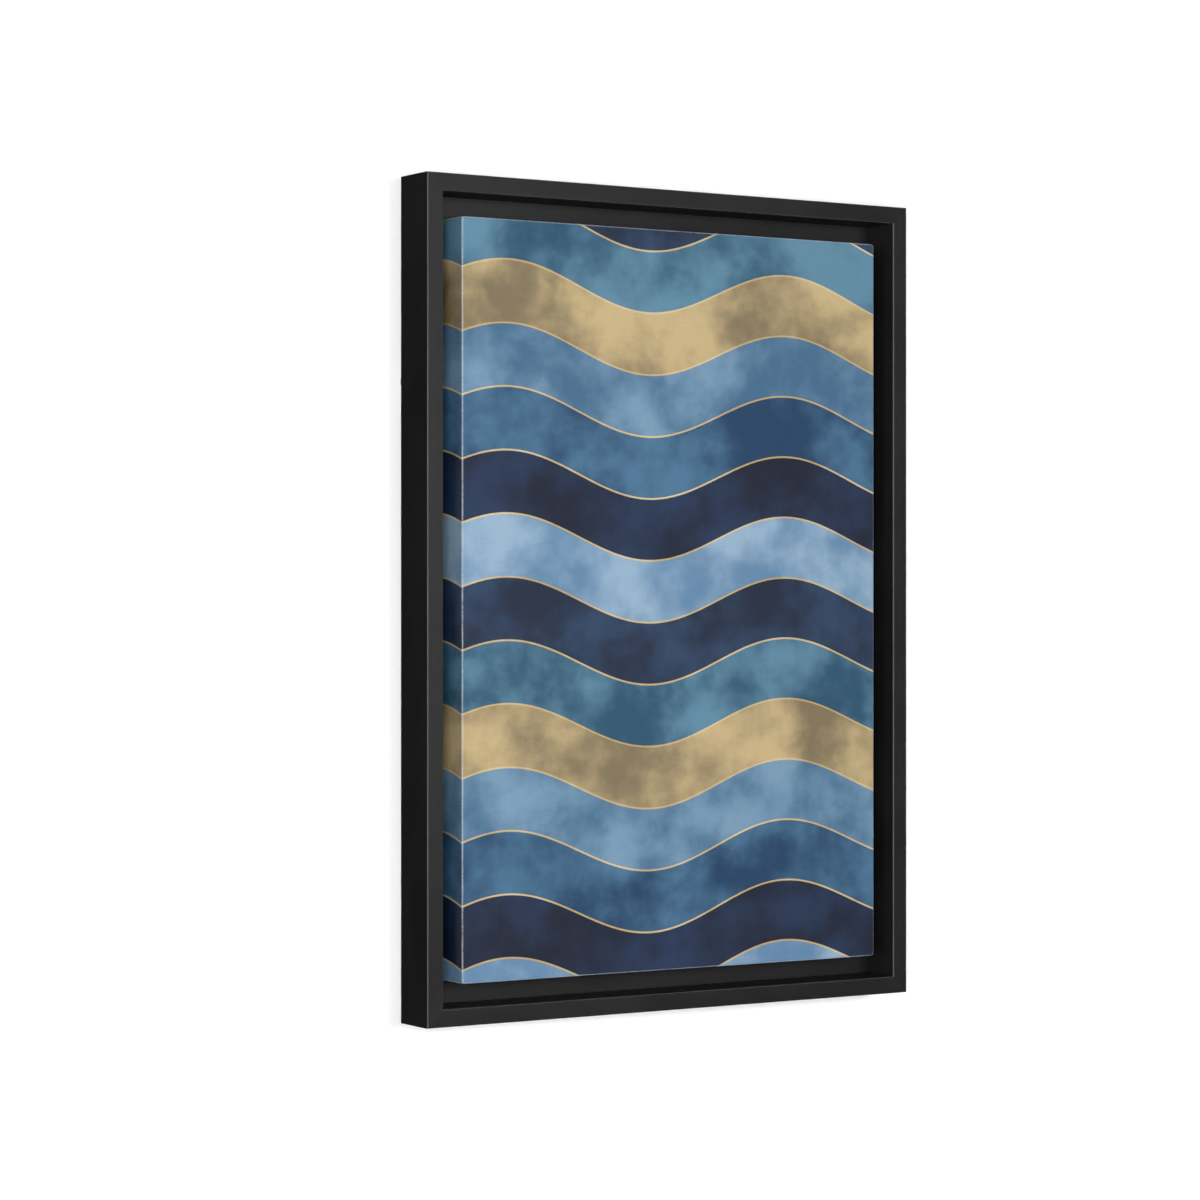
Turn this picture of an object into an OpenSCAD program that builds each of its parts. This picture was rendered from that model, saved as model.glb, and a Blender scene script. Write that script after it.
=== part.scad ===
// Stretched canvas held in a floater frame, ready to hang.
// +X is the viewer's right, +Y points to the wall and +Z is up.
// The origin lies on the wall, behind the centre of the picture.

/* [Canvas] */
// Width of the stretched cloth face
canvas_w = 304.8; // [250:0.1:400]
// Height of the stretched cloth face
canvas_h = 457.2; // [400:0.1:600]
// Thickness of the cloth
cloth_t = 0.5; // [0.4:0.05:0.7]
// Width of the cloth folded onto the back
flap_w = 28; // [25:1:32]

/* [Stretcher bars] */
// Width of a bar across its face
bar_w = 38; // [36:1:42]
// Depth of a bar at its outer edge
bar_d = 25.5; // [24:0.5:28]
// Width of the raised lip that carries the cloth
bar_lip = 6; // [4:0.5:8]
// How far the front face falls away towards the inner edge
bar_fall = 3; // [1:0.5:4]
// Radius of the eased outer edges
bar_round = 1.2; // [0.5:0.1:2]
// Thickness of a corner tongue and of its slot
tongue_t = 4.2; // [4:0.1:5]

/* [Corner keys] */
// Length of a key
key_l = 32; // [30:1:34]
// Width of a key at its head
key_head = 9.5; // [8.5:0.5:10.5]
// Width of a key at its tip
key_tip = 4.5; // [4:0.5:5]
// Length of a key that stands out of its slot
key_out = 8; // [6:1:10]
// Free space on each face of a key
key_gap = 0.2; // [0.1:0.05:0.3]

/* [Floater frame] */
// Gap between the cloth and the frame
gap_w = 13.8; // [8:0.2:16]
// Width of the frame's front face
face_w = 10.8; // [10:0.2:14]
// Width of the foot on the back, from the outer edge
foot_w = 40; // [38:1:44]
// Thickness of the foot
foot_t = 4.5; // [4:0.5:6]
// How far the cloth lies behind the frame's front
recess = 2; // [0:0.5:5]
// Radius of the eased frame edges
edge_r = 0.8; // [0.4:0.1:1.2]

/* [Hanging hardware] */
// Distance from the wall to the frame's back
standoff = 4; // [4:0.25:6]
// Distance from the top edge down to the D-ring pivots
hanger_drop = 125; // [80:5:160]
// Distance from the outer edge in to the middle of a strap
hanger_inset = 8.5; // [8.5:0.1:9.5]
// Width of a strap
strap_w = 9.5; // [8:0.5:10]
// Distance from the pivot to the strap's screw
strap_l = 14; // [14:0.5:16]
// Thickness of the strap's steel
strap_t = 0.8; // [0.6:0.1:0.8]
// Width of a D-ring between its wire centres
ring_w = 13; // [12.5:0.1:13.4]
// Thickness of the D-ring's wire
wire_d = 2; // [1.8:0.1:2]
// Radius of a wall bumper
bumper_r = 6; // [5:0.5:8]

/* [Hidden] */
$fn = 48;

// Sides of the frame, as quarter turns about Y from the top
TOP = 0;
RIGHT = 1;
BOTTOM = 2;
LEFT = 3;

// Ends of an axis
LOW = -1;
HIGH = 1;

// Outer size of the frame
frame_w = canvas_w + 2 * (gap_w + face_w);
frame_h = canvas_h + 2 * (gap_w + face_w);
// Outer size of the stretcher
stretcher_w = canvas_w - 2 * cloth_t;
stretcher_h = canvas_h - 2 * cloth_t;

// Faces from the wall forwards
frame_back = -standoff;
foot_front = frame_back - foot_t;
bar_back = foot_front - cloth_t;
bar_front = bar_back - bar_d;
cloth_front = bar_front - cloth_t;
frame_front = cloth_front - recess;

// The horizontal bars have their tongues near the back, the vertical bars nearer the front
front_layer = 6.5;
back_layer = 5.3;
front_tongue = bar_front + front_layer + tongue_t;
back_tongue = bar_back - back_layer;

// A key narrows evenly from its head to its tip, and its slot follows it
key_slope = (key_head - key_tip) / key_l;
slot_mouth = key_head - key_slope * key_out + key_gap;
slot_end = slot_mouth - key_slope * bar_w;

// Screws, staples and nails
screw_from_cloth_edge = 8;
screw_inset = face_w + gap_w + screw_from_cloth_edge;
screw_r = 1.6;
screw_hole_r = 1.8;
screw_head_r = 3.2;
screw_crown_r = 2.3;
screw_head_h = 1.8;
screw_l = 15;
screw_tip_l = 4;
screw_tip_r = 0.2;
screw_side_z = 165;
screw_end_x = 80;
recess_l = 3.6;
recess_w = 0.9;
recess_d = 1.1;
staple_crown = 10;
staple_wire = 0.5;
staple_band = 1.2;
staple_leg = 5;
staple_inset = 21;
staple_pitch = 46;
nail_wing = 6;
nail_t = 0.6;
nail_h = 10;
nail_first = 4.5;
nail_second = 8;
nail_proud = 0.1;

// D-ring and its strap
wire_r = wire_d / 2;
pin_gap = 0.06;
bore_r = wire_r + pin_gap;
knuckle_r = bore_r + strap_t;
pivot_x = frame_w / 2 - hanger_inset;
pivot_y = frame_back + knuckle_r;
pivot_z = frame_h / 2 - hanger_drop;
strap_step = 0.3;
ring_corner = 1.6;
ring_leg = 1.4;
ring_reach = ring_corner + ring_leg + ring_w / 2;
lean_gap = 0.05;
ring_lean = asin((knuckle_r - wire_r - lean_gap) / ring_reach);

// Wall bumpers
bumper_from_side = 30;
bumper_from_bottom = 14;
bumper_x = frame_w / 2 - bumper_from_side;
bumper_z = bumper_from_bottom - frame_h / 2;
bumper_round = 1.2;

// Points along an arc, from angle a to angle b
function arc(x, y, r, a, b, steps = 4) =
    [for (i = [0 : steps]) let (t = a + (b - a) * i / steps) [x + r * cos(t), y + r * sin(t)]];

// Length and half size of the frame and the stretcher on one side
function is_end(side) = side == TOP || side == BOTTOM;
function rail_length(side) = is_end(side) ? frame_w : frame_h;
function rail_half(side) = (is_end(side) ? frame_h : frame_w) / 2;
function bar_length(side) = is_end(side) ? stretcher_w : stretcher_h;
function bar_half(side) = (is_end(side) ? stretcher_h : stretcher_w) / 2;
function screw_place(side) = is_end(side) ? screw_end_x : screw_side_z;

// Places a child drawn on the top side, with its outer edge at Z = 0, on any side
module on_side(side, half) {
    rotate([0, 90 * side, 0])
        translate([0, 0, half])
            children();
}

// Extrudes an outline drawn in Y and Z along X
module along_x(length) {
    translate([-length / 2, 0, 0])
        rotate([90, 0, 90])
            linear_extrude(length)
                children();
}

// Extrudes an outline drawn in X and Z from depth y_front back to depth y_back
module along_y(y_front, y_back) {
    translate([0, y_back, 0])
        rotate([90, 0, 0])
            linear_extrude(y_back - y_front)
                children();
}

// Cylinder along Y between two depths
module peg(radius, y_front, y_back) {
    along_y(y_front, y_back)
        circle(radius);
}

// Cone along +Y from depth y_start, with its radii in that order
module cone(r_start, r_end, y_start, length) {
    translate([0, y_start, 0])
        rotate([-90, 0, 0])
            cylinder(h = length, r1 = r_start, r2 = r_end);
}

// Outline with 45 degree ends, width deep from its outer edge
module mitred_outline(length, width) {
    polygon([
        [-length / 2, 0],
        [length / 2, 0],
        [length / 2 - width, -width],
        [width - length / 2, -width]
    ]);
}

// L section of the floater frame: a tall web and a thin foot
module rail_section() {
    polygon(concat(
        arc(frame_front + edge_r, -edge_r, edge_r, 180, 90),
        arc(frame_back - edge_r, -edge_r, edge_r, 90, 0),
        arc(frame_back - edge_r, edge_r - foot_w, edge_r, 0, -90),
        arc(foot_front + edge_r, edge_r - foot_w, edge_r, -90, -180),
        [[foot_front, -face_w]],
        arc(frame_front + edge_r, edge_r - face_w, edge_r, -90, -180)
    ));
}

module frame_rail(side) {
    color([0.07, 0.07, 0.075])
        on_side(side, rail_half(side))
            difference() {
                intersection() {
                    along_x(rail_length(side))
                        rail_section();
                    along_y(frame_front, frame_back)
                        mitred_outline(rail_length(side), foot_w);
                }
                for (end = [-1, 1])
                    translate([end * screw_place(side), 0, -screw_inset])
                        peg(screw_hole_r, foot_front - 1, frame_back + 1);
            }
}

// One V-nail across a mitre, its point towards the corner
module v_nail(inset) {
    translate([frame_w / 2 - inset, 0, frame_h / 2 - inset])
        along_y(frame_back - nail_h, frame_back + nail_proud)
            polygon([
                [0, 0],
                [0, -nail_wing],
                [-nail_t, -nail_wing],
                [-nail_t, -nail_t],
                [-nail_wing, -nail_t],
                [-nail_wing, 0]
            ]);
}

module frame_v_nails() {
    color([0.55, 0.56, 0.58])
        for (flip_x = [0, 1])
            for (flip_z = [0, 1])
                mirror([flip_x, 0, 0])
                    mirror([0, 0, flip_z])
                        for (inset = [nail_first, nail_second])
                            v_nail(inset);
}

// Section of a stretcher bar: a lip at the outer edge and a face that falls away from the cloth
module bar_section() {
    polygon(concat(
        arc(bar_front + bar_round, -bar_round, bar_round, 180, 90),
        arc(bar_back - bar_round, -bar_round, bar_round, 90, 0),
        [[bar_back, -bar_w], [bar_front + bar_fall, -bar_w], [bar_front, -bar_lip]]
    ));
}

// Outline of a bar in the layer where the crossing bar's tongue and the key pass through it
module slotted_outline(length) {
    inner = length / 2 - bar_w;
    polygon([
        [slot_end - inner, 0],
        [inner - slot_end, 0],
        [inner - slot_mouth, -bar_w],
        [slot_mouth - inner, -bar_w]
    ]);
}

// One stretcher bar. Its own tongue layer ends square, its slot layer makes room for the crossing bar.
module stretcher_bar(side) {
    length = bar_length(side);
    own = is_end(side) ? back_tongue : front_tongue;
    crossing = is_end(side) ? front_tongue : back_tongue;
    color([0.80, 0.66, 0.45])
        on_side(side, bar_half(side))
            intersection() {
                along_x(length)
                    bar_section();
                union() {
                    along_y(bar_front, front_tongue - tongue_t)
                        mitred_outline(length, bar_w);
                    along_y(front_tongue, back_tongue - tongue_t)
                        mitred_outline(length, bar_w);
                    along_y(back_tongue, bar_back)
                        mitred_outline(length, bar_w);
                    along_y(own - tongue_t, own)
                        translate([-length / 2, -bar_w])
                            square([length, bar_w]);
                    along_y(crossing - tongue_t, crossing)
                        slotted_outline(length);
                }
            }
}

// Outline of a key that is driven upwards beside X = 0, with the slot's mouth at Z = 0
module key_outline() {
    translate([-key_gap / 2, 0])
        polygon([
            [0, -key_out],
            [-key_head, -key_out],
            [-key_tip, key_l - key_out],
            [0, key_l - key_out]
        ]);
}

// One corner key. right and top are 1 or -1 and choose the corner.
module corner_key(right, top, vertical) {
    inner_x = stretcher_w / 2 - bar_w;
    inner_z = stretcher_h / 2 - bar_w;
    slot_back = vertical ? front_tongue : back_tongue;
    color([0.86, 0.76, 0.58])
        mirror([right < 0 ? 1 : 0, 0, 0])
            mirror([0, 0, top < 0 ? 1 : 0])
                translate([inner_x, 0, inner_z])
                    along_y(slot_back - tongue_t + key_gap, slot_back - key_gap)
                        mirror(vertical ? [0, 0] : [1, -1])
                            key_outline();
}

// Cloth over the face and the four edges, folded onto the back
module canvas() {
    window_w = canvas_w - 2 * flap_w;
    window_h = canvas_h - 2 * flap_w;
    color([0.55, 0.63, 0.68])
        difference() {
            along_y(cloth_front, foot_front)
                square([canvas_w, canvas_h], center = true);
            along_y(bar_front, bar_back)
                square([stretcher_w, stretcher_h], center = true);
            along_y(bar_front, frame_back)
                square([window_w, window_h], center = true);
        }
}

// One staple, its crown on the folded cloth and its legs in the bar
module staple() {
    along_y(foot_front, foot_front + staple_wire)
        square([staple_crown, staple_band], center = true);
    for (end = [-1, 1])
        translate([end * (staple_crown - staple_wire) / 2, 0, 0])
            along_y(foot_front - cloth_t - staple_leg, foot_front + staple_wire / 2)
                square([staple_wire, staple_band], center = true);
}

// Staples along the four edges, and one across each folded corner
module canvas_staples() {
    color([0.72, 0.73, 0.74])
        for (side = [TOP : LEFT])
            let (length = is_end(side) ? canvas_w : canvas_h)
                let (half = (is_end(side) ? canvas_h : canvas_w) / 2)
                    let (count = floor((length - 2 * bar_w) / staple_pitch)) {
                        on_side(side, half - staple_inset)
                            for (i = [0 : count])
                                translate([(i - count / 2) * staple_pitch, 0, 0])
                                    staple();
                        on_side(side, half)
                            translate([length / 2 - staple_inset, 0, -staple_inset])
                                rotate([0, 45, 0])
                                    staple();
                    }
}

// Pan head screw with a cross recess, its head on the face at depth y_seat
module pan_screw(y_seat, length) {
    difference() {
        union() {
            peg(screw_head_r, y_seat, y_seat + screw_head_h / 2);
            cone(screw_head_r, screw_crown_r, y_seat + screw_head_h / 2, screw_head_h / 2);
            peg(screw_r, y_seat - length + screw_tip_l, y_seat);
            cone(screw_tip_r, screw_r, y_seat - length, screw_tip_l);
        }
        along_y(y_seat + screw_head_h - recess_d, y_seat + screw_head_h + 1) {
            square([recess_l, recess_w], center = true);
            square([recess_w, recess_l], center = true);
        }
    }
}

module canvas_mounting_screws() {
    color([0.78, 0.74, 0.60])
        for (side = [TOP : LEFT])
            on_side(side, rail_half(side))
                for (end = [-1, 1])
                    translate([end * screw_place(side), 0, -screw_inset])
                        pan_screw(frame_back, screw_l);
}

// Outline of one layer of a strap, hanging from the pivot to its round end
module strap_outline(shrink) {
    translate([shrink - strap_w / 2, -strap_l])
        square([strap_w - 2 * shrink, strap_l]);
    translate([0, -strap_l])
        circle(strap_w / 2 - shrink);
}

// Steel strap folded round the D-ring's wire
module hanger_strap(right) {
    color([0.74, 0.75, 0.77])
        translate([right * pivot_x, 0, pivot_z])
            difference() {
                union() {
                    along_y(frame_back, frame_back + strap_t)
                        strap_outline(0);
                    along_y(frame_back + strap_t, frame_back + 2 * strap_t)
                        strap_outline(strap_step);
                    translate([-strap_w / 2, pivot_y, 0])
                        rotate([0, 90, 0])
                            cylinder(h = strap_w, r = knuckle_r);
                }
                translate([-strap_w, pivot_y, 0])
                    rotate([0, 90, 0])
                        cylinder(h = 2 * strap_w, r = bore_r);
                translate([0, 0, -strap_l])
                    peg(screw_hole_r, frame_back - 1, frame_back + 1 + 2 * strap_t);
            }
}

module hanger_screws() {
    color([0.74, 0.75, 0.77])
        for (right = [-1, 1])
            translate([right * pivot_x, 0, pivot_z - strap_l])
                pan_screw(frame_back + 2 * strap_t, screw_l);
}

// Bent wire from angle 0 to angle turn, in the plane of the ring
module wire_bend(radius, turn) {
    rotate([90, 0, 0])
        rotate_extrude(angle = turn)
            translate([radius, 0])
                circle(wire_r);
}

// Wire ring with a straight pin through the strap, leaning on the frame
module d_ring(right) {
    pin = ring_w - 2 * ring_corner;
    color([0.76, 0.77, 0.79])
        translate([right * pivot_x, pivot_y, pivot_z])
            rotate([ring_lean, 0, 0]) {
                translate([-pin / 2, 0, 0])
                    rotate([0, 90, 0])
                        cylinder(h = pin, r = wire_r);
                for (flip = [0, 1])
                    mirror([flip, 0, 0]) {
                        translate([pin / 2, 0, ring_corner])
                            rotate([0, 90, 0])
                                wire_bend(ring_corner, 90);
                        translate([ring_w / 2, 0, ring_corner])
                            cylinder(h = ring_leg, r = wire_r);
                    }
                translate([0, 0, ring_corner + ring_leg])
                    wire_bend(ring_w / 2, 180);
            }
}

// Soft round pad that keeps the frame off the wall
module bumper(right) {
    color([0.16, 0.16, 0.16])
        translate([right * bumper_x, frame_back, bumper_z])
            rotate([-90, 0, 0])
                rotate_extrude()
                    polygon(concat(
                        [[0, 0], [bumper_r, 0]],
                        arc(bumper_r - bumper_round, standoff - bumper_round, bumper_round, 0, 90, 6),
                        [[0, standoff]]
                    ));
}

frame_rail(TOP);  // frame_rail_top
frame_rail(RIGHT);  // frame_rail_right
frame_rail(BOTTOM);  // frame_rail_bottom
frame_rail(LEFT);  // frame_rail_left
frame_v_nails();
stretcher_bar(TOP);  // stretcher_bar_top
stretcher_bar(RIGHT);  // stretcher_bar_right
stretcher_bar(BOTTOM);  // stretcher_bar_bottom
stretcher_bar(LEFT);  // stretcher_bar_left
corner_key(LOW, HIGH, true);  // corner_key_top_left_vertical
corner_key(LOW, HIGH, false);  // corner_key_top_left_horizontal
corner_key(HIGH, HIGH, true);  // corner_key_top_right_vertical
corner_key(HIGH, HIGH, false);  // corner_key_top_right_horizontal
corner_key(LOW, LOW, true);  // corner_key_bottom_left_vertical
corner_key(LOW, LOW, false);  // corner_key_bottom_left_horizontal
corner_key(HIGH, LOW, true);  // corner_key_bottom_right_vertical
corner_key(HIGH, LOW, false);  // corner_key_bottom_right_horizontal
canvas();
canvas_staples();
canvas_mounting_screws();
hanger_strap(LOW);  // hanger_strap_left
hanger_strap(HIGH);  // hanger_strap_right
d_ring(LOW);  // d_ring_left
d_ring(HIGH);  // d_ring_right
hanger_screws();
bumper(LOW);  // bumper_left
bumper(HIGH);  // bumper_right
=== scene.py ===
import math
import random

import bmesh
import bpy
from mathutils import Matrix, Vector


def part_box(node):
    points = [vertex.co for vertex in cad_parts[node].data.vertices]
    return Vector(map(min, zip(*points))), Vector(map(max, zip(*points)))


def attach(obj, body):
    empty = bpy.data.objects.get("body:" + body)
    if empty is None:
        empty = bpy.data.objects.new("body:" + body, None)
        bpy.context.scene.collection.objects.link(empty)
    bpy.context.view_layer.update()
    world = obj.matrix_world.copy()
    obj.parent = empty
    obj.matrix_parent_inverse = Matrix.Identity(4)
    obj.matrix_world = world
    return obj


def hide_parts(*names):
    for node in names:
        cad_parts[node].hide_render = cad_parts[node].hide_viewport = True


# The looks of a stretched canvas in a black floater frame.
# Lengths are in metres in the row frame: +X is the viewer's right, +Y points to the wall, +Z is up.
# The picture faces -Y. Texture sizes are in millimetres, the unit of the fields called x, y and z.

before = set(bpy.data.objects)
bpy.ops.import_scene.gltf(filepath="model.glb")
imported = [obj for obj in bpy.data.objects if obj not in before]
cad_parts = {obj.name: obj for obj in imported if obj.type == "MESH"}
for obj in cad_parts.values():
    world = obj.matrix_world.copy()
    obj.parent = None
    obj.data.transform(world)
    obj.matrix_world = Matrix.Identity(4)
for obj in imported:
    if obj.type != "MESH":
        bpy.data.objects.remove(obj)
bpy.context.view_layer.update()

MM = 0.001
MAIN_BODY = "framed_canvas"
SIDES = ("left", "right")
RAILS = ("top", "right", "bottom", "left")
CORNERS = [f"{level}_{side}" for level in ("top", "bottom") for side in SIDES]

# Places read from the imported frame.
cloth_low, cloth_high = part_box("canvas")
CLOTH_W = cloth_high.x - cloth_low.x
CLOTH_H = cloth_high.z - cloth_low.z
CLOTH_DEPTH = cloth_high.y - cloth_low.y
FRONT_Y = cloth_low.y
FOOT_INNER_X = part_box("frame_rail_right")[0].x
FOOT_INNER_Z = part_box("frame_rail_top")[0].z

# The cloth. It reaches FLAP onto the back, and the print on it PRINT_BLEED.
FLAP = 28 * MM
PRINT_BLEED = 18.5 * MM
CLOTH_THICKNESS = 0.45 * MM
EDGE_RADIUS = 1.5 * MM
CORNER_RADIUS = 2.0 * MM
THREAD_PITCH_MM = 0.52

# The camera stands on the left of the picture, level with its middle.
CAMERA_PLACE = Vector((-1.154, -1.786, 0.0))
CAMERA_HEADING = Vector((0.5314, 0.8471, 0.0))
CAMERA_LENS = 101.7
CAMERA_SENSOR = 36.0
CAMERA_REACH = 40.0


def srgb(red, green, blue):
    """The linear colour of display values from 0 to 255."""
    shares = [value / 255 for value in (red, green, blue)]
    linear = [s / 12.92 if s <= 0.04045 else ((s + 0.055) / 1.055) ** 2.4 for s in shares]
    return (*linear, 1.0)


# ---------------------------------------------------------------- node fields


class Field:
    """A value that varies over a surface: one node output, with the usual arithmetic."""

    def __init__(self, graph, socket):
        self.graph = graph
        self.socket = socket

    def __add__(self, other):
        return self.graph.math("ADD", self, other)

    def __radd__(self, other):
        return self.graph.math("ADD", other, self)

    def __sub__(self, other):
        return self.graph.math("SUBTRACT", self, other)

    def __rsub__(self, other):
        return self.graph.math("SUBTRACT", other, self)

    def __mul__(self, other):
        return self.graph.math("MULTIPLY", self, other)

    def __rmul__(self, other):
        return self.graph.math("MULTIPLY", other, self)

    def __truediv__(self, other):
        return self.graph.math("DIVIDE", self, other)

    def __abs__(self):
        return self.graph.math("ABSOLUTE", self)


class Graph:
    """The node tree of one material, built with short calls."""

    def __init__(self, name):
        self.material = bpy.data.materials.new(name)
        self.material.use_nodes = True
        self.tree = self.material.node_tree
        self.shader = self.tree.nodes["Principled BSDF"]
        self.held = {}

    def set(self, socket, value):
        """Links a field to a socket, or sets the socket's own value."""
        if isinstance(value, Field):
            self.tree.links.new(value.socket, socket)
        else:
            socket.default_value = value

    def node(self, kind, inputs, output=0, **settings):
        """Adds a node, fills its inputs by name or number, and returns one output."""
        made = self.tree.nodes.new(kind)
        for key, value in settings.items():
            setattr(made, key, value)
        for key, value in inputs.items():
            self.set(made.inputs[key], value)
        return Field(self, made.outputs[output])

    def math(self, operation, *values):
        return self.node("ShaderNodeMath", dict(enumerate(values)), operation=operation)

    def ramp(self, value, low, high):
        """0 at low, 1 at high, and smooth between them."""
        inputs = {"Value": value, "From Min": low, "From Max": high}
        return self.node("ShaderNodeMapRange", inputs, interpolation_type="SMOOTHSTEP")

    def blend(self, share, first, second):
        """The first colour where share is 0 and the second where it is 1."""
        return self.node("ShaderNodeMix", {0: share, 6: first, 7: second}, 2, data_type="RGBA")

    def vector(self, x=0.0, y=0.0, z=0.0):
        return self.node("ShaderNodeCombineXYZ", {0: x, 1: y, 2: z})

    def split(self, vector):
        """The three parts of a vector."""
        made = self.tree.nodes.new("ShaderNodeSeparateXYZ")
        self.tree.links.new(vector.socket, made.inputs[0])
        return [Field(self, output) for output in made.outputs]

    def noise(self, place, size, detail=2.0, roughness=0.5):
        """Cloudy noise from 0 to 1 with patches about `size` across, on a place in the same unit."""
        inputs = {"Vector": place, "Scale": 1 / size, "Detail": detail, "Roughness": roughness}
        return self.node("ShaderNodeTexNoise", inputs)

    def object_mm(self):
        """The place on the piece, in millimetres along X, Y and Z."""
        if "object" not in self.held:
            place = self.node("ShaderNodeTexCoord", {}, "Object")
            self.held["object"] = [part * 1000 for part in self.split(place)]
        return self.held["object"]

    def uv_mm(self, name):
        """The place on the unfolded cloth, in millimetres."""
        if name not in self.held:
            place = self.node("ShaderNodeUVMap", {}, uv_map=name)
            self.held[name] = [part * 1000 for part in self.split(place)[:2]]
        return self.held[name]

    def rounded_edges(self):
        """1 on the rounded edges of a square-cut piece and 0 on its flat faces."""
        normal = self.split(self.node("ShaderNodeNewGeometry", {}, "Normal"))
        largest = self.math("MAXIMUM", self.math("MAXIMUM", *map(abs, normal[:2])), abs(normal[2]))
        return self.ramp(largest, 0.998, 0.90)

    def bump(self, height_mm, strength=1.0):
        """Turns a height in millimetres into the shader's normal."""
        inputs = {"Height": height_mm, "Distance": MM, "Strength": strength}
        self.set(self.shader.inputs["Normal"], self.node("ShaderNodeBump", inputs))

    def finish(self, **inputs):
        """Sets the shader's sockets, and gives the material."""
        for name, value in inputs.items():
            self.set(self.shader.inputs[name.replace("_", " ")], value)
        return self.material


# ---------------------------------------------------------------- the print

# Each colour's darker and lighter tone, between which the paint's clouds drift.
GOLD = (srgb(186, 158, 108), srgb(218, 196, 150))
TONES = {
    "mist": (srgb(66, 106, 138), srgb(120, 154, 180)),
    "sky": (srgb(96, 134, 168), srgb(150, 178, 202)),
    "blue": (srgb(26, 62, 96), srgb(74, 116, 148)),
    "teal": (srgb(38, 80, 106), srgb(94, 138, 162)),
    "navy": (srgb(24, 35, 57), srgb(44, 68, 98)),
    "night": (srgb(17, 25, 45), srgb(31, 51, 82)),
    "ochre": (srgb(128, 114, 86), srgb(200, 177, 130)),
}
CLOUD_SIZE_MM = 95
MIST_SIZE_MM = 40

# The stripes from the picture's foot up, again and again, all of one height.
STRIPES = ("night", "blue", "mist", "ochre", "teal", "navy", "sky")
STRIPES_IN_HEIGHT = 12
STRIPE_HIGH = CLOTH_H / MM / STRIPES_IN_HEIGHT

# The wave and the lines between the stripes, in millimetres and radians.
WAVES_IN_WIDTH = 1.5
WAVE_HIGH = 14.0
WAVE_TURN = math.tau * WAVES_IN_WIDTH / (CLOTH_W / MM)
WAVE_START = 0.6
LINE_WIDTH = 1.1
LINE_SOFTNESS = 0.16

# The painted shade in the gaps between the printed threads, and the paler colour of the rubbed edges,
# which is edge wear and a painted highlight.
THREAD_GAP_SHADE = srgb(18, 24, 38)
RUBBED_EDGE_AND_HIGHLIGHT = srgb(186, 194, 204)


def wave_level(g, x, z):
    """Height above the wave through the picture's foot, and its scale to a distance square to it."""
    phase = x * WAVE_TURN + WAVE_START
    slope = g.math("COSINE", phase) * (WAVE_HIGH * WAVE_TURN)
    return z - g.math("SINE", phase) * WAVE_HIGH, g.math("INVERSE_SQRT", slope * slope + 1.0)


def striped_print(g, x, z):
    """The printed picture: a plain repeat of equal wavy stripes with thin gold lines, made by rule."""
    clouds = g.noise(g.vector(x, z), CLOUD_SIZE_MM, 4, 0.52)
    mist = g.noise(g.vector(x, z, 300.0), MIST_SIZE_MM, 4, 0.55)
    drift = g.ramp(clouds * 0.6 + mist * 0.4, 0.40, 0.60)
    level, shorten = wave_level(g, x, z)
    place = g.math("FLOORED_MODULO", level, STRIPE_HIGH * len(STRIPES))
    picture = g.blend(drift, *TONES[STRIPES[0]])
    for number, kind in enumerate(STRIPES[1:], 1):
        foot = number * STRIPE_HIGH
        above = g.ramp(place, foot - LINE_SOFTNESS, foot + LINE_SOFTNESS)
        picture = g.blend(above, picture, g.blend(drift, *TONES[kind]))
    distance = g.math("PINGPONG", level, STRIPE_HIGH / 2) * shorten
    half = LINE_WIDTH / 2
    line = g.ramp(distance, half + LINE_SOFTNESS, half - LINE_SOFTNESS)
    return g.blend(line, picture, g.blend(drift, *GOLD))


def weave(g, u, v):
    """Height from 0 to 1 of a plain weave, whose threads wander and swell a little."""
    sway = g.noise(g.vector(u, v), 9, 2) - 0.5
    step = math.pi / THREAD_PITCH_MM
    across = g.math("COSINE", (u + sway * 0.5) * step)
    along = g.math("COSINE", (v + sway * 0.5) * step)
    crossing = across * along * 0.5
    warp = abs(across) * 0.5 - crossing
    weft = abs(along) * 0.5 + crossing
    return g.math("MAXIMUM", warp, weft)


def slubs(g, u, v):
    """Thicker and thinner stretches of single threads, from 0 to 1."""
    weft = g.noise(g.vector(u * 0.05, v), THREAD_PITCH_MM * 1.4, 2, 0.6)
    warp = g.noise(g.vector(u, v * 0.05, 40.0), THREAD_PITCH_MM * 1.4, 2, 0.6)
    return (weft + warp) * 0.5


def raw_cloth(g, u, v, threads, slub):
    """Unprinted canvas: warm white with faint darker threads and fluff, and painted shade in the gaps of
    the weave.
    """
    cloud = g.noise(g.vector(u, v, 12.0), 30, 3)
    ground = g.blend(g.ramp(cloud, 0.3, 0.7), srgb(226, 220, 204), srgb(235, 230, 217))
    # Darker where the weave is low: partly darker slubs, partly painted shade in the gaps between
    # threads.
    dark_slubs_and_gap_shade = g.ramp(threads + slub * 0.8, 1.05, 0.35) * 0.75
    return g.blend(dark_slubs_and_gap_shade, ground, srgb(164, 154, 134))


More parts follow.
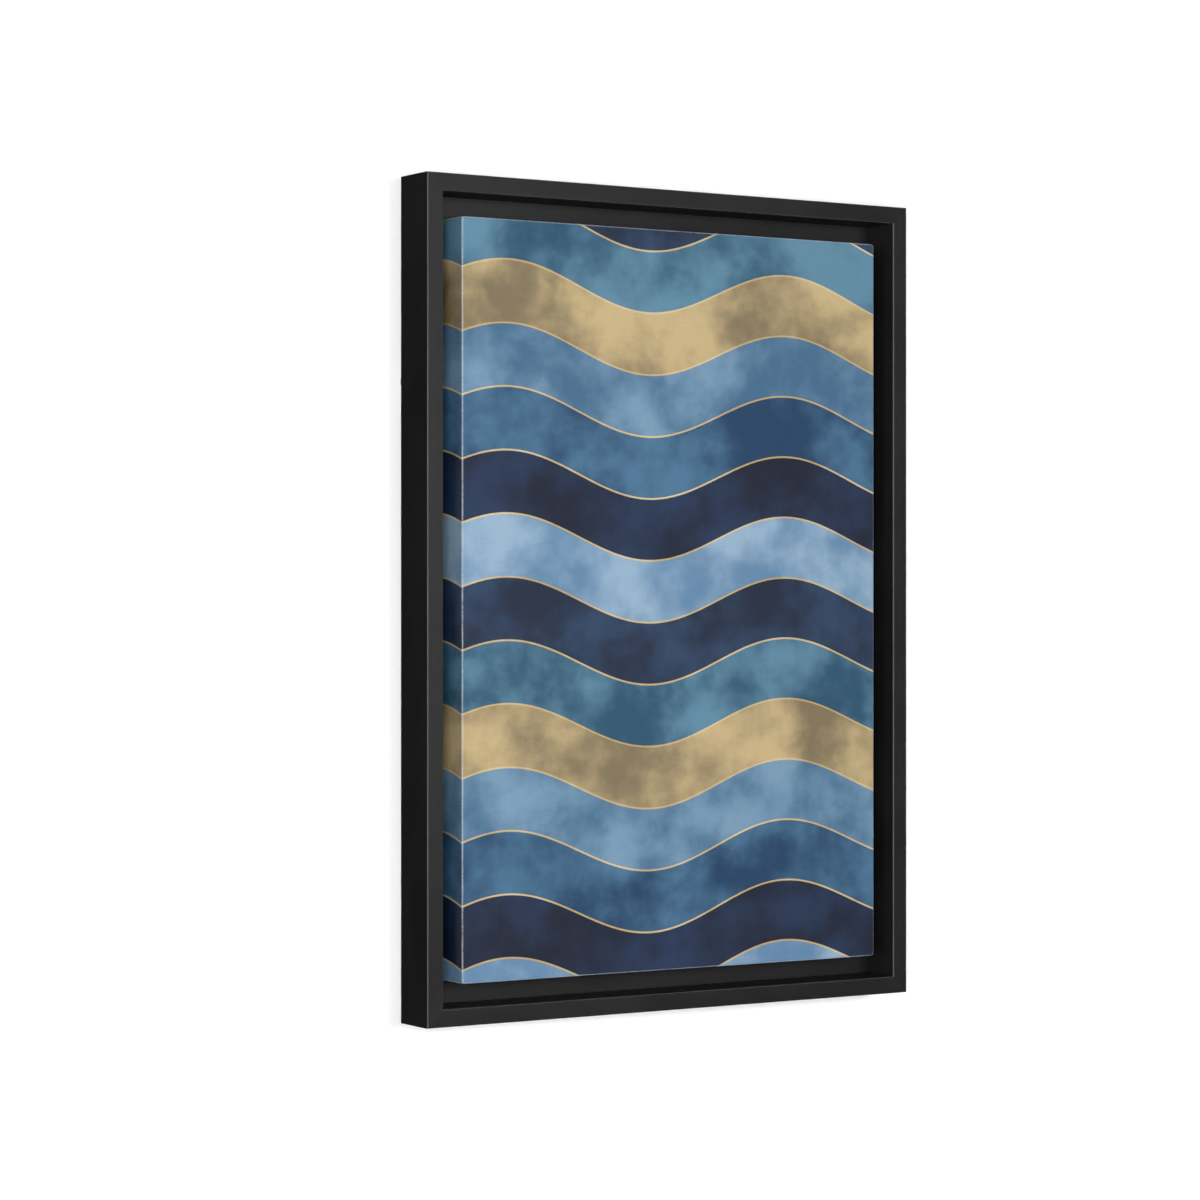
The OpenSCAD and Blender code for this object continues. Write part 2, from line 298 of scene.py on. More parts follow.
def printed_cloth():
    """The front of the cloth: the print as far as its bleed, and raw cloth on the flaps beyond."""
    g = Graph("printed_cloth")
    u, v = g.uv_mm("cloth")
    x, z = g.uv_mm("print")
    threads = weave(g, u, v)
    slub = slubs(g, u, v)
    shade = g.ramp(threads + slub * 0.8, 0.2, 1.5)
    picture = striped_print(g, x, z)
    # Painted shade: the print darkens towards the gaps between the threads.
    print_with_painted_light_and_wear = g.blend((1 - shade) * 0.34, picture, THREAD_GAP_SHADE)
    beyond = g.math("MAXIMUM", abs(u) - CLOTH_W / MM / 2, abs(v) - CLOTH_H / MM / 2)
    bled = beyond + (slub - 0.5) * 0.6
    limit = (CLOTH_DEPTH + PRINT_BLEED) / MM
    raw = g.ramp(bled, limit - 0.12, limit + 0.12)
    # The paler line along the face's rim is partly rubbed cloth and partly a painted highlight.
    rub_and_highlight = g.ramp(abs(beyond + 0.4), 0.6, 0.25) * g.ramp(slub, 0.25, 0.6)
    print_with_painted_light_and_wear = g.blend(rub_and_highlight * 0.58, print_with_painted_light_and_wear, RUBBED_EDGE_AND_HIGHLIGHT)
    g.bump(threads * 0.10 + slub * 0.16, 0.9)
    return g.finish(
        Base_Color=g.blend(raw, print_with_painted_light_and_wear, raw_cloth(g, u, v, threads, slub)),
        Roughness=g.math("MULTIPLY_ADD", slub, 0.3, 0.55),
        Specular_IOR_Level=0.3,
    )


def cloth_back():
    """The inner face of the cloth and its cut edges."""
    g = Graph("cloth_back")
    u, v = g.uv_mm("cloth")
    threads = weave(g, u, v)
    slub = slubs(g, u, v)
    g.bump(threads * 0.14 + slub * 0.2, 1.0)
    return g.finish(
        Base_Color=raw_cloth(g, u, v, threads, slub),
        Roughness=g.math("MULTIPLY_ADD", slub, 0.2, 0.78),
        Specular_IOR_Level=0.2,
    )


def thread_cotton():
    """Twisted cotton of the loose threads."""
    g = Graph("thread_cotton")
    place = g.vector(*g.object_mm())
    twist = g.noise(place, 0.25, 2)
    tone = g.blend(g.ramp(twist, 0.35, 0.65), srgb(206, 199, 180), srgb(238, 233, 220))
    g.bump(twist * 0.05, 0.6)
    return g.finish(Base_Color=tone, Roughness=twist * 0.2 + 0.75, Specular_IOR_Level=0.2)


# ---------------------------------------------------------------- wood, paint, metal and rubber


def along_first(parts, axis):
    """The parts of a place with the grain's axis first."""
    return parts[axis:] + parts[:axis]


def black_paint(name, axis, seed):
    """Semi-matte black paint on wood, rubbed paler on the edges with a painted highlight there too, over
    a faint grain along one axis.
    """
    g = Graph(name)
    along, across, over = along_first(g.object_mm(), axis)
    grain = g.noise(g.vector(along * 0.03, across, over + seed), 0.9, 4, 0.6)
    peel = g.noise(g.vector(along, across, over + seed), 1.6, 2, 0.5)
    drift = g.noise(g.vector(along * 0.5, across, over + seed * 3.0), 34, 3, 0.55)
    dust = g.ramp(g.noise(g.vector(along, across, over), 0.9, 1), 0.70, 0.78)
    # Paler paint on the rounded edges: partly edge wear, partly a painted highlight.
    edge = g.rounded_edges() * g.ramp(g.noise(g.vector(along, across, over), 14, 5, 0.7), 0.15, 0.5)
    body = g.blend(g.ramp(drift, 0.35, 0.65), srgb(20, 20, 21), srgb(26, 26, 27))
    body = g.blend(dust * 0.25, body, srgb(70, 70, 72))
    g.bump(grain * 0.05 + peel * 0.035, 0.8)
    return g.finish(
        Base_Color=g.blend(edge * 0.7, body, srgb(72, 72, 74)),
        Roughness=g.math("MULTIPLY_ADD", grain + drift, 0.12, 0.34),
        Specular_IOR_Level=0.24,
    )


def pine(name, axis, seed):
    """Planed pine: growth rings cut lengthways, fine fibres and a few resin flecks."""
    g = Graph(name)
    along, across, over = along_first(g.object_mm(), axis)
    bend = g.noise(g.vector(along * 0.06, across * 0.35, over * 0.35 + seed), 7, 2) * 9
    side = across * 0.9 + bend + seed * 7.0
    deep = over + 46.0 + bend
    radius = g.math("SQRT", side * side * 0.15 + deep * deep)
    ring = g.math("PINGPONG", radius, 1.7) / 1.7
    late = g.ramp(ring, 0.35, 0.98)
    fibre = g.noise(g.vector(along * 0.035, across, over + seed), 0.5, 3, 0.6)
    cloud = g.noise(g.vector(along * 0.2, across, over + seed), 26, 3)
    fleck = g.ramp(g.noise(g.vector(along * 0.12, across, over - seed), 0.9, 1), 0.70, 0.76)
    ground = g.blend(g.ramp(cloud, 0.35, 0.65), srgb(218, 188, 142), srgb(231, 206, 164))
    colour = g.blend(late * 0.55, ground, srgb(190, 145, 92))
    colour = g.blend(g.ramp(fibre, 0.62, 0.38) * 0.30, colour, srgb(176, 134, 88))
    colour = g.blend(fleck * 0.5, colour, srgb(128, 84, 48))
    colour = g.blend(g.rounded_edges() * 0.2, colour, srgb(240, 220, 184))
    g.bump(fibre * 0.16 + late * 0.05, 0.8)
    return g.finish(
        Base_Color=colour,
        Roughness=g.math("MULTIPLY_ADD", fibre, 0.25, 0.55),
        Specular_IOR_Level=0.3,
    )


def key_wood(name, axis, seed):
    """Sawn pale hardwood: short pores along the grain and the saw's cross marks."""
    g = Graph(name)
    along, across, over = along_first(g.object_mm(), axis)
    pores = g.ramp(g.noise(g.vector(along * 0.10, across, over + seed), 0.35, 2, 0.6), 0.60, 0.70)
    cloud = g.noise(g.vector(along * 0.15, across, over + seed), 6, 3)
    saw = g.noise(g.vector(along, across * 0.08, over * 0.08 + seed), 0.6, 2)
    colour = g.blend(g.ramp(cloud, 0.35, 0.65), srgb(214, 184, 138), srgb(235, 214, 176))
    colour = g.blend(pores * 0.5, colour, srgb(158, 116, 74))
    colour = g.blend(g.ramp(saw, 0.60, 0.75) * 0.25, colour, srgb(180, 146, 104))
    g.bump(saw * 0.16 - pores * 0.08, 0.8)
    return g.finish(Base_Color=colour, Roughness=saw * 0.2 + 0.62, Specular_IOR_Level=0.28)


# Each metal's dull, bright and stained colour, its least roughness, and the seed of its pattern.
METALS = {
    "bright_steel": (srgb(140, 143, 148), srgb(176, 179, 184), srgb(120, 116, 108), 0.30, 3.0),
    "yellow_zinc": (srgb(190, 168, 104), srgb(216, 200, 146), srgb(188, 150, 150), 0.26, 8.0),
    "staple_steel": (srgb(96, 100, 106), srgb(146, 150, 156), srgb(88, 82, 76), 0.34, 5.0),
    "nail_steel": (srgb(112, 116, 124), srgb(150, 154, 160), srgb(104, 92, 82), 0.40, 7.0),
}


def plated_metal(name):
    """Plated steel: cloudy crystals in the plating, fine scratches and a trace of stain."""
    dull, bright, stain, roughness, seed = METALS[name]
    g = Graph(name)
    place = g.vector(*g.object_mm())
    x, y, z = g.object_mm()
    crystals = g.noise(place, 1.3, 3, 0.6)
    cloud = g.noise(g.vector(x, y, z + seed), 5, 3)
    scratch_one = g.noise(g.vector(x * 0.12, y, z + seed), 0.16, 2)
    scratch_two = g.noise(g.vector(x + z, y, (z - x) * 0.12 + seed), 0.16, 2)
    scratches = g.ramp(g.math("MAXIMUM", scratch_one, scratch_two), 0.62, 0.74)
    colour = g.blend(g.ramp(crystals, 0.35, 0.65), dull, bright)
    colour = g.blend(g.ramp(cloud, 0.58, 0.76) * 0.5, colour, stain)
    colour = g.blend(scratches * 0.35, colour, bright)
    g.bump(crystals * 0.02 - scratches * 0.015, 0.7)
    return g.finish(
        Base_Color=colour,
        Metallic=1.0,
        Roughness=crystals * 0.18 + scratches * 0.1 + roughness,
    )


def bumper_rubber():
    """Soft black rubber with a moulded matt skin and some dust."""
    g = Graph("bumper_rubber")
    place = g.vector(*g.object_mm())
    skin = g.noise(place, 0.35, 2)
    dust = g.ramp(g.noise(place, 2.4, 5, 0.7), 0.50, 0.72)
    colour = g.blend(dust * 0.30, srgb(30, 30, 31), srgb(96, 94, 90))
    g.bump(skin * 0.04, 0.8)
    return g.finish(Base_Color=colour, Roughness=dust * 0.2 + 0.62, Specular_IOR_Level=0.4)


def coat(node, material):
    """Gives a CAD node its material."""
    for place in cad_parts[node].material_slots:
        place.material = material


def coat_cad_nodes():
    """Every CAD node that stays visible gets its finish. Axis 0 is X and axis 2 is Z.

    A seed moves a pattern within the noise, so that no two rails, bars or keys have the same grain.
    """
    for number, rail in enumerate(RAILS):
        axis = 0 if rail in ("top", "bottom") else 2
        coat(f"frame_rail_{rail}", black_paint(f"black_paint_{rail}", axis, 40.0 * number))
        coat(f"stretcher_bar_{rail}", pine(f"pine_{rail}", axis, 55.0 * number + 9))
    for number, corner in enumerate(CORNERS):
        for direction, axis in (("vertical", 2), ("horizontal", 0)):
            seed = 30.0 * number + 11 * axis
            finish = key_wood(f"key_wood_{corner}_{direction}", axis, seed)
            coat(f"corner_key_{corner}_{direction}", finish)
    bright = plated_metal("bright_steel")
    for side in SIDES:
        coat(f"hanger_strap_{side}", bright)
        coat(f"d_ring_{side}", bright)
        coat(f"bumper_{side}", bumper_rubber())
    coat("hanger_screws", bright)
    coat("canvas_mounting_screws", plated_metal("yellow_zinc"))
    coat("canvas_staples", plated_metal("staple_steel"))
    coat("frame_v_nails", plated_metal("nail_steel"))


# ---------------------------------------------------------------- the cloth

# How finely the cloth is divided: the face, a rounded edge, the side, and the flap.
COLUMNS = 76
ROWS = 114
ARC_STEPS = 5
SIDE_STEPS = 8
FLAP_STEPS = 14

# How far the folds and the flap's free edge stand off, and how far a staple holds the flap down.
FOLD_THICKNESS = 0.35 * MM
FOLD_LENGTH = 5 * MM
FLAP_LIFT = 0.7 * MM
FLAP_FREE_FROM = 14 * MM
STAPLE_HOLD = 9 * MM
STAPLE_REACH = 6 * MM


def staple_places():
    """Where the staples hold the flap down: the middles of their faces, thinned out.

    The staples' mesh has no vertices in common between faces, so each face is a group of its own.
    The walk follows the mesh's own order, which makes every run the same to the last digit.
    """
    work = bmesh.new()
    work.from_mesh(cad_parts["canvas_staples"].data)
    places = []
    seen = set()
    for start in work.verts:
        if start in seen:
            continue
        seen.add(start)
        group = [start]
        for vertex in group:
            others = [edge.other_vert(vertex) for edge in vertex.link_edges]
            fresh = [other for other in others if other not in seen]
            seen.update(fresh)
            group.extend(fresh)
        places.append(sum((v.co for v in group), Vector()) / len(group))
    work.free()
    return merge_close(places, STAPLE_REACH)


def merge_close(places, reach):
    """One place for each cluster of places closer than reach."""
    kept = []
    for place in sorted(places, key=lambda p: (round(p.x, 4), round(p.z, 4))):
        if all((place - other).length > reach for other in kept):
            kept.append(place)
    return kept


def cloth_profile():
    """Stations from the face's rim round the edge to the flap's cut edge.

    Each is (in from the outline, back from the face, length of cloth past the rim).
    """
    stations = []
    for step in range(ARC_STEPS + 1):
        turn = math.pi / 2 * step / ARC_STEPS
        inset = EDGE_RADIUS * (1 - math.sin(turn))
        depth = EDGE_RADIUS * (1 - math.cos(turn))
        stations.append((inset, depth, EDGE_RADIUS * turn))
    side = CLOTH_DEPTH - 2 * EDGE_RADIUS
    arc = EDGE_RADIUS * math.pi / 2
    for step in range(1, SIDE_STEPS):
        run = side * step / SIDE_STEPS
        stations.append((0.0, EDGE_RADIUS + run, arc + run))
    for step in range(ARC_STEPS + 1):
        turn = math.pi / 2 * step / ARC_STEPS
        inset = EDGE_RADIUS * (1 - math.cos(turn))
        depth = CLOTH_DEPTH - EDGE_RADIUS * (1 - math.sin(turn))
        stations.append((inset, depth, arc + side + EDGE_RADIUS * turn))
    inner = FLAP - EDGE_RADIUS
    for step in range(1, FLAP_STEPS + 1):
        run = inner * step / FLAP_STEPS
        stations.append((EDGE_RADIUS + run, CLOTH_DEPTH, 2 * arc + side + run))
    return stations


def smooth(value, low, high):
    """0 at low, 1 at high, and smooth between them."""
    share = min(max((value - low) / (high - low), 0), 1)
    return share * share * (3 - 2 * share)


class ClothMesh:
    """The wrapped cloth as one open surface, which gets its thickness afterwards."""

    def __init__(self):
        self.work = bmesh.new()
        self.cloth_uv = self.work.loops.layers.uv.new("cloth")
        self.print_uv = self.work.loops.layers.uv.new("print")
        self.staples = staple_places()
        self.stations = cloth_profile()
        self.half_w = CLOTH_W / 2
        self.half_h = CLOTH_H / 2

    def face(self, corners):
        """Adds one face from (place, unfolded place) corners."""
        made = self.work.faces.new([self.work.verts.new(place) for place, _ in corners])
        made.smooth = True
        for loop, (_, flat) in zip(made.loops, corners):
            loop[self.cloth_uv].uv = flat
            loop[self.print_uv].uv = self.print_place(flat)

    def print_place(self, flat):
        """The print runs on over the edge as its own mirror image."""
        across = self.half_w - abs(abs(flat[0]) - self.half_w)
        up = self.half_h - abs(abs(flat[1]) - self.half_h)
        across = math.copysign(across, flat[0])
        up = math.copysign(up, flat[1])
        return (across + self.half_w, up + self.half_h)

    def sheet(self, grid):
        """Adds the quads between neighbouring rows of corners."""
        for low, high in zip(grid, grid[1:]):
            for i in range(len(low) - 1):
                self.face([low[i], low[i + 1], high[i + 1], high[i]])

    def flap_lift(self, x, z, inset):
        """The flap's free edge stands off the bar between the staples."""
        nearest = min(math.hypot(x - s.x, z - s.z) for s in self.staples)
        free = smooth(inset, FLAP_FREE_FROM, FLAP) * smooth(nearest, 2 * MM, STAPLE_HOLD)
        ripple = 0.6 + 0.4 * math.sin(x * 410 + math.sin(z * 190) * 1.4 + z * 350)
        return FLAP_LIFT * free * ripple

    def fold_lift(self, from_end, length, covered):
        """The folded layer under the top and bottom cloth makes it stand proud at its ends."""
        started = smooth(length, 2 * MM, 9 * MM)
        return 0.0 if covered else FOLD_THICKNESS * started * math.exp(-from_end / FOLD_LENGTH)

    def cut_edge(self, place, from_end, inset):
        """The scissors wandered a little on the cut edge, between the folded ends."""
        near_cut = smooth(inset, FLAP - 3 * MM, FLAP) * smooth(from_end, 0, 12 * MM)
        wander = math.sin(place * 95) * 0.5 + math.sin(place * 260 + 1) * 0.25
        return near_cut * wander * MM

    def halves(self, axis):
        """From the middle to the side across that axis, and from the middle to the side's end."""
        return (self.half_w, self.half_h) if axis == 0 else (self.half_h, self.half_w)

    def edge_point(self, axis, along, inset):
        """A point of one side's wrap: (place along the side, distance from its end, height out)."""
        half_out, half_along = self.halves(axis)
        reach = half_along - max(inset, CORNER_RADIUS)
        place = along * reach / (half_along - CORNER_RADIUS)
        from_end = reach - abs(place)
        return place, from_end, half_out - inset - self.cut_edge(place, from_end, inset)

    def side_strip(self, axis, sign):
        """The wrap of one side. Axis 0 is a left or right side, and axis 2 the top or bottom."""
        reach = self.halves(axis)[1] - CORNER_RADIUS
        alongs = self.spread(reach, ROWS if axis == 0 else COLUMNS)
        grid = [[self.strip_corner(axis, sign, along, s) for along in alongs] for s in self.stations]
        if (axis == 0) == (sign > 0):
            grid = [row[::-1] for row in grid]
        self.sheet(grid)

    def strip_corner(self, axis, sign, along, station):
        """One corner of the strip's mesh, with its unfolded place. The folds are at top and bottom."""
        inset, depth, length = station
        place, from_end, out = self.edge_point(axis, along, inset)
        x, z = (sign * out, place) if axis == 0 else (place, sign * out)
        flat_out = sign * (self.halves(axis)[0] - EDGE_RADIUS + length)
        flat = (flat_out, place) if axis == 0 else (place, flat_out)
        under_foot = abs(x) > FOOT_INNER_X - MM or abs(z) > FOOT_INNER_Z - MM
        on_back = depth > CLOTH_DEPTH - EDGE_RADIUS / 2
        lift = 0.0
        if axis == 2:
            lift = self.fold_lift(from_end, length, on_back and under_foot)
        if on_back:
            depth += lift + (0 if under_foot else self.flap_lift(x, z, inset))
        elif axis == 2:
            z += sign * lift * smooth(CLOTH_DEPTH - depth, EDGE_RADIUS / 2, 5 * MM)
        return (x, FRONT_Y + depth, z), flat

    def corner_strip(self, side, level):
        """The round upright corner, which belongs to the cloth of the left or right side."""
        grid = []
        centre_x = self.half_w - CORNER_RADIUS
        centre_z = self.half_h - CORNER_RADIUS
        for inset, depth, length in self.stations:
            if inset > CORNER_RADIUS + 1e-6:
                break
            row = []
            for step in range(ARC_STEPS + 1):
                turn = math.pi / 2 * step / ARC_STEPS
                radius = CORNER_RADIUS - inset
                x = centre_x + radius * math.cos(turn)
                z = centre_z + radius * math.sin(turn)
                flat_x = side * (self.half_w - EDGE_RADIUS + length)
                flat_z = level * (centre_z + CORNER_RADIUS * turn)
                row.append(((side * x, FRONT_Y + depth, level * z), (flat_x, flat_z)))
            grid.append(row)
        if side == level:
            grid = [row[::-1] for row in grid]
        self.sheet(grid)
        self.close_corner(side, level, grid[-1])

    def close_corner(self, side, level, last):
        """Draws the corner's last row together where the mitre of the flaps starts."""
        x = side * (self.half_w - CORNER_RADIUS)
        z = level * (self.half_h - CORNER_RADIUS)
        flat = last[0][1] if side == level else last[-1][1]
        tip = ((x, FRONT_Y + CLOTH_DEPTH, z), (flat[0], z))
        for first, second in zip(last, last[1:]):
            self.face([first, second, tip])

    def front(self):
        """The flat face, out to the rim where the edge starts to turn."""
        xs = self.spread(self.half_w - CORNER_RADIUS, COLUMNS)
        zs = self.spread(self.half_h - CORNER_RADIUS, ROWS)
        xs = [-self.half_w + EDGE_RADIUS] + xs + [self.half_w - EDGE_RADIUS]
        zs = [-self.half_h + EDGE_RADIUS] + zs + [self.half_h - EDGE_RADIUS]
        grid = [[((x, FRONT_Y, z), (x, z)) for x in xs] for z in zs]
        for j, (low, high) in enumerate(zip(grid, grid[1:])):
            for i in range(len(low) - 1):
                at_corner = i in (0, len(low) - 2) and j in (0, len(grid) - 2)
                if not at_corner:
                    self.face([low[i], low[i + 1], high[i + 1], high[i]])

    def front_corner(self, side, level):
        """The small round corner of the flat face."""
        x = self.half_w - CORNER_RADIUS
        z = self.half_h - CORNER_RADIUS
        radius = CORNER_RADIUS - EDGE_RADIUS
        rim = []
        for step in range(ARC_STEPS + 1):
            turn = math.pi / 2 * step / ARC_STEPS
            point = (side * (x + radius * math.cos(turn)), level * (z + radius * math.sin(turn)))
            rim.append(((point[0], FRONT_Y, point[1]), point))
        middle = ((side * x, FRONT_Y, level * z), (side * x, level * z))
        if side != level:
            rim.reverse()
        for first, second in zip(rim, rim[1:]):
            self.face([middle, first, second])

    @staticmethod
    def spread(reach, count):
        """Even places from -reach to reach."""
        return [reach * (2 * i / count - 1) for i in range(count + 1)]

    def build(self):
        """Makes the mesh and gives the object."""
        self.front()
        for sign in (-1, 1):
            self.side_strip(0, sign)
            self.side_strip(2, sign)
            for level in (-1, 1):
                self.corner_strip(sign, level)
                self.front_corner(sign, level)
        bmesh.ops.remove_doubles(self.work, verts=self.work.verts, dist=1e-6)
        mesh = bpy.data.meshes.new("canvas_wrap")
        self.work.to_mesh(mesh)
        self.work.free()
        made = bpy.data.objects.new("canvas_wrap", mesh)
        bpy.context.scene.collection.objects.link(made)
        return made


# The loose threads on the cut edge.
THREADS_PER_METRE = 95
THREAD_RADIUS = 0.10 * MM
THREAD_SHORTEST_MM = 1.2
THREAD_LONGEST_MM = 5.5
THREAD_STEPS = 6
THREAD_ROOT = 0.8 * MM


def thread_points(cloth, draw, axis, sign, along):
    """One loose thread: it leaves the cut edge and lies on the bar in a small curl."""
    half_out, half_along = cloth.halves(axis)
    length = draw.uniform(THREAD_SHORTEST_MM, THREAD_LONGEST_MM) * MM
    lean = draw.uniform(-0.9, 0.9)
    curl = draw.uniform(-0.5, 0.5)
    from_end = half_along - FLAP - abs(along)
    start = FLAP + cloth.cut_edge(along, from_end, FLAP) - THREAD_ROOT
    points = []
    for step in range(THREAD_STEPS + 1):
        run = length * step / THREAD_STEPS
        turn = lean * run / length + curl * (run / length) ** 2
        out = half_out - start - run * math.cos(turn)
        side = along + run * math.sin(turn)
        x, z = (sign * out, side) if axis == 0 else (side, sign * out)
        lift = cloth.flap_lift(x, z, FLAP) if step < 2 else 0.0
        fall = CLOTH_THICKNESS * smooth(run, 0.6 * MM, 2.2 * MM)
        points.append((x, FRONT_Y + CLOTH_DEPTH + THREAD_RADIUS + lift - fall, z))
    return points


def thread_curve(cloth):
    """The loose threads of all four flaps, as one curve of round section."""
    draw = random.Random(11)
    curve = bpy.data.curves.new("frayed_threads", "CURVE")
    curve.dimensions = "3D"
    curve.bevel_depth = THREAD_RADIUS
    curve.bevel_resolution = 1
    curve.use_fill_caps = True
    for axis in (0, 2):
        half_along = cloth.halves(axis)[1] - FLAP
        for sign in (-1, 1):
            for _ in range(int(THREADS_PER_METRE * 2 * half_along)):
                along = draw.uniform(-half_along, half_along)
                points = thread_points(cloth, draw, axis, sign, along)
                spline = curve.splines.new("POLY")
                spline.points.add(len(points) - 1)
                for target, point in zip(spline.points, points):
                    target.co = (*point, 1)
    return curve


def make_threads(cloth):
    """Short threads that fray from the cut edge of the flaps."""
    guide = bpy.data.objects.new("thread_guide", thread_curve(cloth))
    bpy.context.scene.collection.objects.link(guide)
    bpy.context.view_layer.update()
    drawn = guide.evaluated_get(bpy.context.evaluated_depsgraph_get())
    mesh = bpy.data.meshes.new_from_object(drawn)
    bpy.data.objects.remove(guide)
    threads = bpy.data.objects.new("frayed_threads", mesh)
    bpy.context.scene.collection.objects.link(threads)
    mesh.materials.clear()
    mesh.materials.append(thread_cotton())
    mesh.shade_smooth()
    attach(threads, MAIN_BODY)
    return threads


def make_cloth():
    """The printed cloth with its thickness, in place of the CAD canvas."""
    shape = ClothMesh()
    cloth = shape.build()
    threads = make_threads(shape)
    cloth.data.materials.append(printed_cloth())
    cloth.data.materials.append(cloth_back())
    thicken = cloth.modifiers.new("thickness", "SOLIDIFY")
    thicken.thickness = CLOTH_THICKNESS
    thicken.offset = -1
    thicken.material_offset = 1
    even = cloth.modifiers.new("shading", "WEIGHTED_NORMAL")
    even.keep_sharp = True
    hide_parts("canvas")
    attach(cloth, MAIN_BODY)


# ---------------------------------------------------------------- stage, light and camera

WALL_GAP = 0.4 * MM
FLOOR_Z = -1.3
STAGE_SIZE = 8.0

# How strongly the wall and the floor glow, near the picture and away from it.
WALL_GLOW = (0.10, 0.85)
FLOOR_GLOW = (0.85, 0.90)
GLOW_STARTS_MM = 500
GLOW_FULL_MM = 1400
DOME_RADIUS = 12.0

# The soft light from all round: its brightest direction, and where it starts and stops to fade.
ROOM_LIGHT_FROM = Vector((0.85, 0.36, 0.38))
ROOM_LIGHT_FADE = (0.20, 0.95)
ROOM_LIGHT_STRENGTH = (0.04, 0.55)


def show_to_camera_only(piece):
    """Keeps a piece of the stage from lighting, shading or showing up in the object."""
    piece.visible_diffuse = False
    piece.visible_glossy = False
    piece.visible_transmission = False
    piece.visible_shadow = False


def stage_plane(name, corners, material):
    """A flat piece of the stage."""
    mesh = bpy.data.meshes.new(name)
    mesh.from_pydata(corners, [], [(0, 1, 2, 3)])
    mesh.materials.append(material)
    made = bpy.data.objects.new(name, mesh)
    bpy.context.scene.collection.objects.link(made)
    show_to_camera_only(made)


def one_sided_white(name, glow_near, glow_far):
    """Matt white that glows, more so away from the picture, and isn't there seen from behind."""
    g = Graph(name)
    place = g.vector(*g.object_mm())
    distance = g.node("ShaderNodeVectorMath", {0: place}, "Value", operation="LENGTH")
    away = g.ramp(distance, GLOW_STARTS_MM, GLOW_FULL_MM)
    tone = g.blend(g.ramp(g.noise(place, 240, 2), 0.3, 0.7), srgb(250, 250, 250), srgb(252, 252, 252))
    g.finish(
        Base_Color=tone,
        Roughness=0.95,
        Specular_IOR_Level=0.0,
        Emission_Color=(1, 1, 1, 1),
        Emission_Strength=g.math("MULTIPLY_ADD", away, glow_far - glow_near, glow_near),
    )
    clear = g.node("ShaderNodeBsdfTransparent", {})
    behind = g.node("ShaderNodeNewGeometry", {}, "Backfacing")
    shader = Field(g, g.shader.outputs[0])
    mixed = g.node("ShaderNodeMixShader", {0: behind, 1: shader, 2: clear})
    g.set(g.tree.nodes["Material Output"].inputs["Surface"], mixed)
    return g.material


def even_glow(name):
    """An even white that lights nothing: it is for the camera's background only."""
    g = Graph(name)
    return g.finish(Base_Color=(0, 0, 0, 1), Emission_Color=(1, 1, 1, 1), Emission_Strength=1.0)


def make_stage():
    """A wall behind the picture, a pale floor, and a white dome beyond them."""
    s = STAGE_SIZE
    wall = [(-s, WALL_GAP, -s), (s, WALL_GAP, -s), (s, WALL_GAP, s), (-s, WALL_GAP, s)]
    stage_plane("wall", wall, one_sided_white("wall_white", *WALL_GLOW))
    floor = [(-s, -s, FLOOR_Z), (s, -s, FLOOR_Z), (s, s, FLOOR_Z), (-s, s, FLOOR_Z)]
    stage_plane("floor", floor, one_sided_white("floor_white", *FLOOR_GLOW))
    work = bmesh.new()
    bmesh.ops.create_icosphere(work, subdivisions=4, radius=DOME_RADIUS)
    mesh = bpy.data.meshes.new("dome")
    work.to_mesh(mesh)
    work.free()
    mesh.materials.append(even_glow("dome_white"))
    dome = bpy.data.objects.new("dome", mesh)
    bpy.context.scene.collection.objects.link(dome)
    show_to_camera_only(dome)


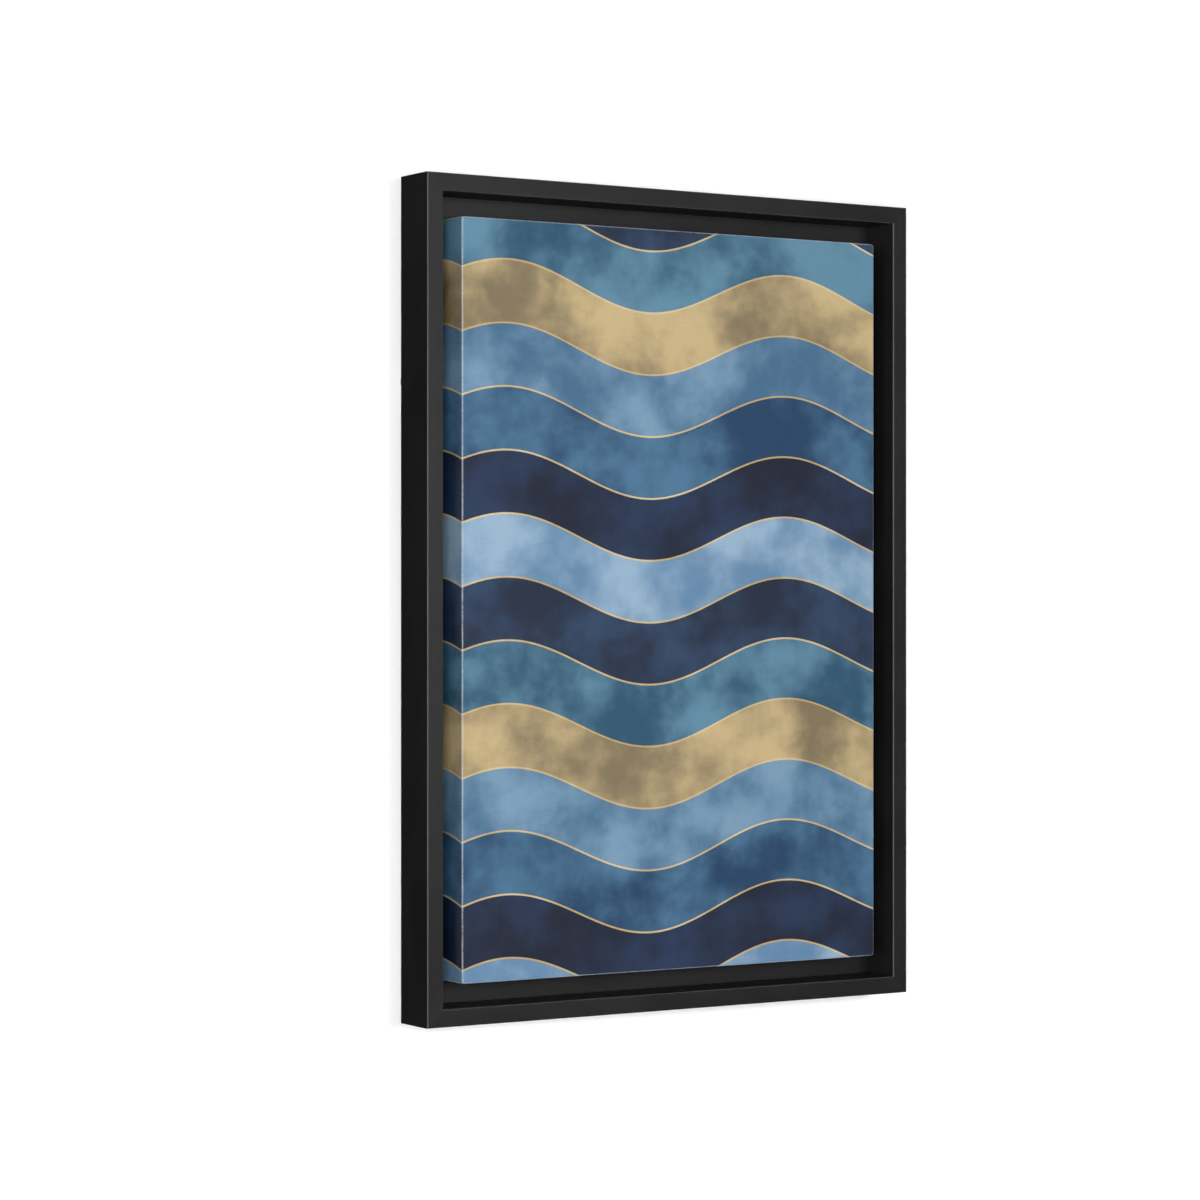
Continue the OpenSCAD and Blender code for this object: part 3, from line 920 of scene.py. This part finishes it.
def make_world():
    """Dim light from all round, stronger from the right and above."""
    world = bpy.data.worlds.new("studio")
    bpy.context.scene.world = world
    world.use_nodes = True
    nodes = world.node_tree.nodes
    links = world.node_tree.links
    place = nodes.new("ShaderNodeTexCoord")
    facing = nodes.new("ShaderNodeVectorMath")
    facing.operation = "DOT_PRODUCT"
    facing.inputs[1].default_value = ROOM_LIGHT_FROM
    links.new(place.outputs["Generated"], facing.inputs[0])
    lobe = nodes.new("ShaderNodeMapRange")
    lobe.interpolation_type = "SMOOTHSTEP"
    lobe.inputs["From Min"].default_value = ROOM_LIGHT_FADE[0]
    lobe.inputs["From Max"].default_value = ROOM_LIGHT_FADE[1]
    lobe.inputs["To Min"].default_value = ROOM_LIGHT_STRENGTH[0]
    lobe.inputs["To Max"].default_value = ROOM_LIGHT_STRENGTH[1]
    links.new(facing.outputs["Value"], lobe.inputs["Value"])
    nodes["Background"].inputs["Color"].default_value = (1, 1, 1, 1)
    links.new(lobe.outputs[0], nodes["Background"].inputs["Strength"])


def softbox(name, place, size, power):
    """A rectangular area light, size = (width, height), turned to the picture's middle."""
    light = bpy.data.lights.new(name, "AREA")
    light.shape = "RECTANGLE"
    light.size, light.size_y = size
    light.energy = power
    made = bpy.data.objects.new(name, light)
    made.location = place
    made.rotation_euler = (-Vector(place)).to_track_quat("-Z", "Y").to_euler()
    bpy.context.scene.collection.objects.link(made)
    return made


def make_lights():
    """The key gives the front faces their sheen, and the rim light shows only as lines on rounded edges.

    The fill adds no gloss, and the side and back lights serve the views from there.
    """
    softbox("key", (0.42, -2.45, 0.20), (0.75, 0.75), 28.5)
    softbox("side", (2.5, 0.45, 0.7), (1.2, 1.8), 45)
    softbox("back", (0.9, 2.6, 1.1), (2.4, 2.0), 46)
    fill = softbox("fill", (-1.5, -2.3, -0.08), (1.0, 1.0), 66)
    fill.visible_glossy = False
    rim = softbox("rim", (-2.1, -1.3, 0.1), (0.7, 1.6), 130)
    rim.visible_diffuse = False


def make_camera():
    """The camera looks level at the picture, past its left side."""
    data = bpy.data.cameras.new("camera")
    data.lens = CAMERA_LENS
    data.sensor_width = CAMERA_SENSOR
    data.clip_end = CAMERA_REACH
    camera = bpy.data.objects.new("camera", data)
    camera.location = CAMERA_PLACE
    camera.rotation_euler = CAMERA_HEADING.to_track_quat("-Z", "Y").to_euler()
    bpy.context.scene.collection.objects.link(camera)
    bpy.context.scene.camera = camera


make_camera()
make_stage()
make_world()
make_lights()
coat_cad_nodes()
make_cloth()
bpy.context.scene.view_settings.view_transform = "Standard"
